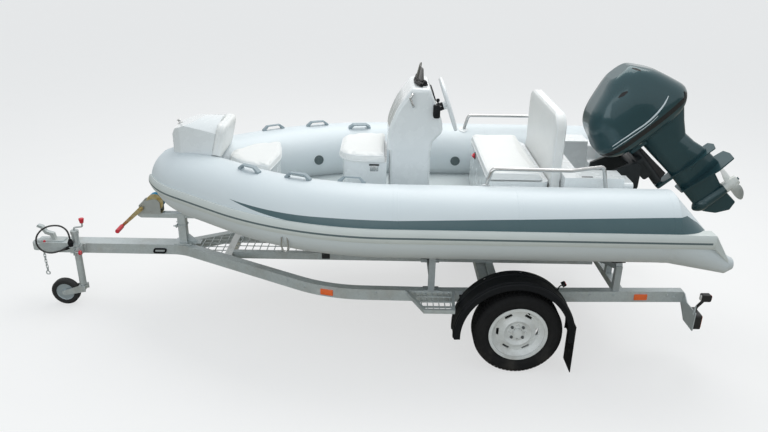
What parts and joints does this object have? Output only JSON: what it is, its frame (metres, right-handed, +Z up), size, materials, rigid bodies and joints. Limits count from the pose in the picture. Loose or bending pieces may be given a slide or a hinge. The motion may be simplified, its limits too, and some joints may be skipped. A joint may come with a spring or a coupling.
{
  "type": "rigid inflatable boat on a road trailer",
  "caption": "Rigid inflatable boat with a helm console, seats and a tilted outboard, carried on a galvanised single axle road trailer with a jockey wheel.",
  "frame": {"origin": "ground level under the centre of the overall box", "axes": "+X towards the bow and the coupling, +Y to port, +Z up"},
  "size_m": [5.0341, 1.922, 1.7975],
  "materials": {
    "galvanised_steel": "hot dip galvanised",
    "white_steel": "white enamel",
    "tyre": "rubber",
    "black_plastic": "textured",
    "collar_fabric": "coated fabric, satin",
    "strake_rubber": "satin",
    "gelcoat": "gloss gelcoat",
    "deck": "non slip",
    "cushion": "white vinyl",
    "stainless": "polished",
    "smoked_glass": "smoked",
    "engine_paint": "gloss blue grey",
    "engine_black": "satin",
    "prop_white": "white paint",
    "bunk_rubber": "satin",
    "lamp_plastic": "red lens on black",
    "cable_rubber": "satin",
    "strap_webbing": "woven webbing",
    "handle_rubber": "satin",
    "winch_zinc": "yellow zinc"
  },
  "bodies": {
    "root": {"side_rails": "galvanised_steel", "keel_beams": "galvanised_steel", "front_cross_beam": "white_steel", "cross_beams": "galvanised_steel", "walkway_mesh": "galvanised_steel", "side_steps": "galvanised_steel", "axle": "galvanised_steel", "mudguards": "black_plastic", "rear_lamps": "lamp_plastic", "coupling": "galvanised_steel", "coupling_handle": "galvanised_steel", "jockey_clamp": "galvanised_steel", "jockey_tube": "galvanised_steel", "trailer_cable": "cable_rubber", "cable_plug": "black_plastic", "cable_gland": "black_plastic", "winch_post": "galvanised_steel", "winch": "winch_zinc", "winch_strap": "strap_webbing", "side_tubes": "collar_fabric", "bow_tube": "collar_fabric", "rubbing_strake": "strake_rubber", "grab_handles": "handle_rubber", "hull": "gelcoat", "bow_eye": "stainless", "bunk_brackets": "galvanised_steel", "bunk_pads": "bunk_rubber", "deck_floor": "deck", "transom": "gelcoat", "splash_well": "gelcoat", "bow_locker": "gelcoat", "bow_backrest": "cushion", "bow_seat": "gelcoat", "console_seat": "gelcoat", "console": "gelcoat", "windscreen": "smoked_glass", "helm_fittings": "black_plastic", "console_rails": "stainless", "helm_boss": "black_plastic", "rear_bench": "gelcoat", "backrest": "cushion", "stern_rails": "stainless", "clamp_bracket": "engine_black"},
    "port_wheel": {"port_tyre": "tyre", "port_wheel": "white_steel"},
    "starboard_wheel": {"starboard_tyre": "tyre", "starboard_wheel": "white_steel"},
    "jockey_fork": {"jockey_fork": "galvanised_steel"},
    "jockey_wheel": {"jockey_wheel": "black_plastic"},
    "outboard_swivel": {"swivel_bracket": "engine_black"},
    "outboard": {"cowl": "engine_paint", "powerhead": "engine_black", "lower_pan": "engine_paint", "midsection": "engine_paint", "lower_unit": "engine_paint"},
    "propeller": {"propeller": "prop_white"},
    "helm_wheel": {"helm_wheel": "gelcoat"},
    "console_seat_lid": {"console_seat_lid": "cushion"},
    "rear_seat_lid": {"rear_cushion": "cushion"},
    "bow_seat_lid": {"bow_cushion": "cushion"}
  },
  "joints": [
    {"name": "port_wheel_spin", "type": "hinge", "parent": "root", "child": "port_wheel", "pos_m": [-0.846, 0.797, 0.278], "axis": [0, 1, 0], "continuous": true},
    {"name": "starboard_wheel_spin", "type": "hinge", "parent": "root", "child": "starboard_wheel", "pos_m": [-0.846, -0.797, 0.278], "axis": [0, 1, 0], "continuous": true},
    {"name": "jockey_swivel", "type": "hinge", "parent": "root", "child": "jockey_fork", "pos_m": [2.174, 0.096, 0.3], "axis": [0, 0, 1], "continuous": true},
    {"name": "jockey_wheel_spin", "type": "hinge", "parent": "jockey_fork", "child": "jockey_wheel", "pos_m": [2.306, 0.096, 0.1], "axis": [0, 1, 0], "continuous": true},
    {"name": "outboard_tilt", "type": "hinge", "parent": "root", "child": "outboard_swivel", "pos_m": [-1.683, 0, 1.137], "axis": [0, 1, 0], "range_deg": [-45, 25]},
    {"name": "outboard_steer", "type": "hinge", "parent": "outboard_swivel", "child": "outboard", "pos_m": [-1.73734, 0, 1.18424], "axis": [0.6561, 0, 0.7547], "range_deg": [-32, 32]},
    {"name": "propeller_spin", "type": "hinge", "parent": "outboard", "child": "propeller", "pos_m": [-2.41252, 0, 0.98675], "axis": [0.7547, 0, -0.6561], "continuous": true},
    {"name": "helm_turn", "type": "hinge", "parent": "root", "child": "helm_wheel", "pos_m": [-0.419, 0, 1.51], "axis": [-0.9455, 0, 0.3256], "range_deg": [-600, 600]},
    {"name": "console_seat_lid_hinge", "type": "hinge", "parent": "root", "child": "console_seat_lid", "pos_m": [0.119, -0.268, 1.1753], "axis": [1, 0, 0], "range_deg": [0, 80]},
    {"name": "rear_seat_lid_hinge", "type": "hinge", "parent": "root", "child": "rear_seat_lid", "pos_m": [-1.011, 0, 1.1303], "axis": [0, -1, 0], "range_deg": [0, 55]},
    {"name": "bow_seat_lid_hinge", "type": "hinge", "parent": "root", "child": "bow_seat_lid", "pos_m": [1.054, 0, 1.1003], "axis": [0, 1, 0], "range_deg": [0, 50]}
  ],
  "couplings": [
    {"joint": "helm_turn", "follows": "outboard_steer", "ratio": -18}
  ]
}
